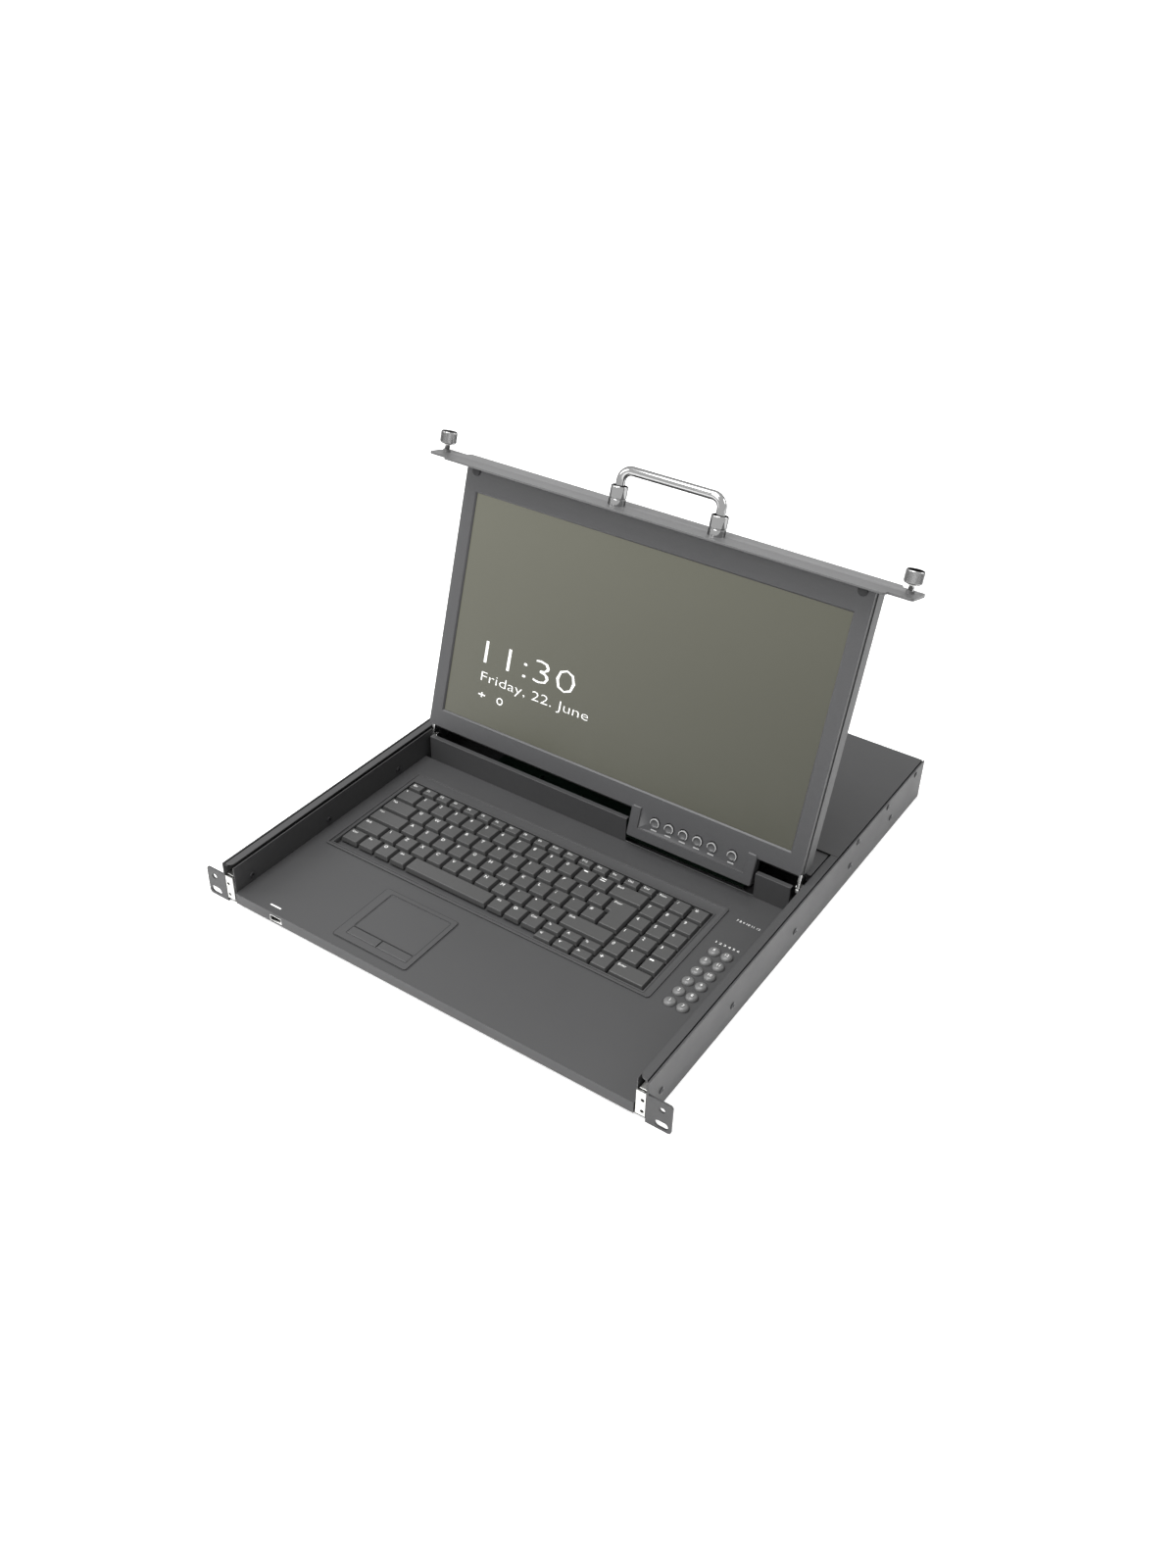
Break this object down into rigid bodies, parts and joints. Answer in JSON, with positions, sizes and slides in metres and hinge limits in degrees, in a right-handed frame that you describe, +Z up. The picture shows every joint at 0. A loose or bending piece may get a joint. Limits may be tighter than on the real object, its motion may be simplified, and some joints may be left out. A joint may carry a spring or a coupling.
{
  "type": "rackmount lcd console drawer",
  "caption": "One-unit 19-inch rack console drawer with a fold-down LCD lid, keyboard, touchpad and port buttons on telescopic slides.",
  "frame": {"origin": "midway between the two ear slots, on the rear (mounting) face of the rack ears", "axes": "+X to the user's right, +Y towards the back of the rack, +Z up; the drawer slides out along -Y"},
  "size_m": [0.4826, 0.5185, 0.3404],
  "materials": {
    "black_powder_coat": "fine-textured black powder coat",
    "bar_paint": "satin black paint",
    "zinc_plate": "bright zinc plated sheet",
    "nickel_plate": "nickel plated",
    "chrome": "polished chrome",
    "bezel_plastic": "fine matt moulded plastic",
    "screen": "anti-glare screen film, lit",
    "key_plastic": "matt black key plastic",
    "keyboard_plastic": "matt black moulded plastic",
    "touchpad_plastic": "satin black plastic",
    "button_rubber": "satin silicone",
    "pod_button_plastic": "satin black plastic",
    "rocker_plastic": "gloss black plastic",
    "black_screws": "black oxide",
    "black_trim": "matt black plastic",
    "circuit_board": "solder mask",
    "rubber": "soft rubber"
  },
  "bodies": {
    "chassis": {"rail_right": "black_powder_coat", "rail_left": "black_powder_coat", "chassis_pan": "black_powder_coat", "rear_cover": "black_powder_coat", "rear_panel": "black_powder_coat", "chassis_screws": "black_screws", "rear_sockets": "nickel_plate", "power_inlet": "black_trim", "switch_housing": "black_trim", "switch_board": "circuit_board", "power_supply": "zinc_plate", "slide_outer_members": "zinc_plate"},
    "rocker": {"power_rocker": "rocker_plastic"},
    "slide_mid": {"slide_mid_members": "zinc_plate"},
    "outer_cages": {"outer_ball_cages": "zinc_plate"},
    "inner_cages": {"inner_ball_cages": "zinc_plate"},
    "drawer": {"drawer_tray": "black_powder_coat", "deck_panel": "black_powder_coat", "hinge_wall": "black_powder_coat", "rear_deck": "black_powder_coat", "slide_inner_members": "zinc_plate", "keyboard_base": "keyboard_plastic", "touchpad": "touchpad_plastic", "control_board": "circuit_board", "hinge_pins": "chrome", "front_usb_socket": "nickel_plate", "drawer_screws": "black_screws"},
    "lid": {"lid_back_cover": "black_powder_coat", "lid_bezel": "bezel_plastic", "lcd_panel": "screen", "lid_boards": "circuit_board", "lid_arms": "nickel_plate", "front_bar": "bar_paint", "handle": "chrome", "handle_collars": "chrome", "lid_bumpers": "rubber"},
    "clip_left": {"thumbscrew_clip_left": "zinc_plate"},
    "clip_right": {"thumbscrew_clip_right": "zinc_plate"},
    "screw_left": {"thumbscrew_left": "chrome"},
    "screw_right": {"thumbscrew_right": "chrome"},
    "touch_left": {"touch_button_left": "touchpad_plastic"},
    "touch_right": {"touch_button_right": "touchpad_plastic"},
    "ports_inner": {"port_buttons_inner": "button_rubber"},
    "ports_outer": {"port_buttons_outer": "button_rubber"},
    "function_key_group": {"function_keys": "key_plastic"},
    "number_row_key_group": {"number_row_keys": "key_plastic"},
    "upper_letter_key_group": {"upper_letter_keys": "key_plastic"},
    "middle_letter_key_group": {"middle_letter_keys": "key_plastic"},
    "lower_letter_key_group": {"lower_letter_keys": "key_plastic"},
    "modifier_key_group": {"modifier_keys": "key_plastic"},
    "space_bar_body": {"space_bar": "key_plastic"},
    "enter_key_body": {"enter_key": "key_plastic"},
    "arrow_key_group": {"arrow_keys": "key_plastic"},
    "numpad_key_group": {"numpad_keys": "key_plastic"},
    "pod_press_1": {"pod_button_1": "pod_button_plastic"},
    "pod_press_2": {"pod_button_2": "pod_button_plastic"},
    "pod_press_3": {"pod_button_3": "pod_button_plastic"},
    "pod_press_4": {"pod_button_4": "pod_button_plastic"},
    "pod_press_5": {"pod_button_5": "pod_button_plastic"},
    "pod_press_6": {"pod_button_6": "pod_button_plastic"}
  },
  "joints": [
    {"name": "drawer_slide", "type": "slide", "parent": "chassis", "child": "drawer", "axis": [0, -1, 0], "range_m": [0, 0.33]},
    {"name": "slide_mid_run", "type": "slide", "parent": "chassis", "child": "slide_mid", "axis": [0, -1, 0], "range_m": [0, 0.165]},
    {"name": "outer_cage_run", "type": "slide", "parent": "chassis", "child": "outer_cages", "axis": [0, -1, 0], "range_m": [0, 0.0825]},
    {"name": "inner_cage_run", "type": "slide", "parent": "chassis", "child": "inner_cages", "axis": [0, -1, 0], "range_m": [0, 0.2475]},
    {"name": "lid_hinge", "type": "hinge", "parent": "drawer", "child": "lid", "pos_m": [0, 0.2742, 0.02755], "axis": [1, 0, 0], "range_deg": [-13.7, 106.3]},
    {"name": "power_switch", "type": "hinge", "parent": "chassis", "child": "rocker", "pos_m": [0.145, 0.51, 0.01565], "axis": [-1, 0, 0], "range_deg": [0, 16]},
    {"name": "thumbscrew_turn_left", "type": "hinge", "parent": "clip_left", "child": "screw_left", "pos_m": [-0.23255, 0.3406, 0.29621], "axis": [0, 0.2807, 0.9598], "range_deg": [-1802, 0]},
    {"name": "thumbscrew_feed_left", "type": "slide", "parent": "lid", "child": "clip_left", "axis": [0, 0.2807, 0.9598], "range_m": [-0.004, 0]},
    {"name": "thumbscrew_turn_right", "type": "hinge", "parent": "clip_right", "child": "screw_right", "pos_m": [0.23255, 0.3406, 0.29621], "axis": [0, 0.2807, 0.9598], "range_deg": [-1802, 0]},
    {"name": "thumbscrew_feed_right", "type": "slide", "parent": "lid", "child": "clip_right", "axis": [0, 0.2807, 0.9598], "range_m": [-0.004, 0]},
    {"name": "press_function_keys", "type": "slide", "parent": "drawer", "child": "function_key_group", "axis": [0, 0, -1], "range_m": [0, 0.002], "stiffness_N_per_m": 5100},
    {"name": "press_number_row_keys", "type": "slide", "parent": "drawer", "child": "number_row_key_group", "axis": [0, 0, -1], "range_m": [0, 0.002], "stiffness_N_per_m": 4200},
    {"name": "press_upper_letter_keys", "type": "slide", "parent": "drawer", "child": "upper_letter_key_group", "axis": [0, 0, -1], "range_m": [0, 0.002], "stiffness_N_per_m": 3900},
    {"name": "press_middle_letter_keys", "type": "slide", "parent": "drawer", "child": "middle_letter_key_group", "axis": [0, 0, -1], "range_m": [0, 0.002], "stiffness_N_per_m": 3900},
    {"name": "press_lower_letter_keys", "type": "slide", "parent": "drawer", "child": "lower_letter_key_group", "axis": [0, 0, -1], "range_m": [0, 0.002], "stiffness_N_per_m": 3900},
    {"name": "press_modifier_keys", "type": "slide", "parent": "drawer", "child": "modifier_key_group", "axis": [0, 0, -1], "range_m": [0, 0.002], "stiffness_N_per_m": 2100},
    {"name": "press_space_bar", "type": "slide", "parent": "drawer", "child": "space_bar_body", "axis": [0, 0, -1], "range_m": [0, 0.002], "stiffness_N_per_m": 600},
    {"name": "press_enter_key", "type": "slide", "parent": "drawer", "child": "enter_key_body", "axis": [0, 0, -1], "range_m": [0, 0.002], "stiffness_N_per_m": 300},
    {"name": "press_arrow_keys", "type": "slide", "parent": "drawer", "child": "arrow_key_group", "axis": [0, 0, -1], "range_m": [0, 0.002], "stiffness_N_per_m": 1800},
    {"name": "press_numpad_keys", "type": "slide", "parent": "drawer", "child": "numpad_key_group", "axis": [0, 0, -1], "range_m": [0, 0.002], "stiffness_N_per_m": 5100},
    {"name": "press_touch_left", "type": "slide", "parent": "drawer", "child": "touch_left", "axis": [0, 0, -1], "range_m": [0, 0.0005], "stiffness_N_per_m": 900},
    {"name": "press_touch_right", "type": "slide", "parent": "drawer", "child": "touch_right", "axis": [0, 0, -1], "range_m": [0, 0.0005], "stiffness_N_per_m": 900},
    {"name": "press_ports_inner", "type": "slide", "parent": "drawer", "child": "ports_inner", "axis": [0, 0, -1], "range_m": [0, 0.001], "stiffness_N_per_m": 1800},
    {"name": "press_ports_outer", "type": "slide", "parent": "drawer", "child": "ports_outer", "axis": [0, 0, -1], "range_m": [0, 0.001], "stiffness_N_per_m": 1800},
    {"name": "press_pod_1", "type": "slide", "parent": "lid", "child": "pod_press_1", "axis": [0, 0.9598, -0.2807], "range_m": [0, 0.0006], "stiffness_N_per_m": 500},
    {"name": "press_pod_2", "type": "slide", "parent": "lid", "child": "pod_press_2", "axis": [0, 0.9598, -0.2807], "range_m": [0, 0.0006], "stiffness_N_per_m": 500},
    {"name": "press_pod_3", "type": "slide", "parent": "lid", "child": "pod_press_3", "axis": [0, 0.9598, -0.2807], "range_m": [0, 0.0006], "stiffness_N_per_m": 500},
    {"name": "press_pod_4", "type": "slide", "parent": "lid", "child": "pod_press_4", "axis": [0, 0.9598, -0.2807], "range_m": [0, 0.0006], "stiffness_N_per_m": 500},
    {"name": "press_pod_5", "type": "slide", "parent": "lid", "child": "pod_press_5", "axis": [0, 0.9598, -0.2807], "range_m": [0, 0.0006], "stiffness_N_per_m": 500},
    {"name": "press_pod_6", "type": "slide", "parent": "lid", "child": "pod_press_6", "axis": [0, 0.9598, -0.2807], "range_m": [0, 0.0006], "stiffness_N_per_m": 500}
  ],
  "couplings": [
    {"joint": "slide_mid_run", "follows": "drawer_slide", "ratio": 0.5},
    {"joint": "outer_cage_run", "follows": "drawer_slide", "ratio": 0.25},
    {"joint": "inner_cage_run", "follows": "drawer_slide", "ratio": 0.75},
    {"joint": "thumbscrew_turn_left", "follows": "thumbscrew_feed_left", "rad_per_m": 7854},
    {"joint": "thumbscrew_turn_right", "follows": "thumbscrew_feed_right", "rad_per_m": 7854}
  ]
}
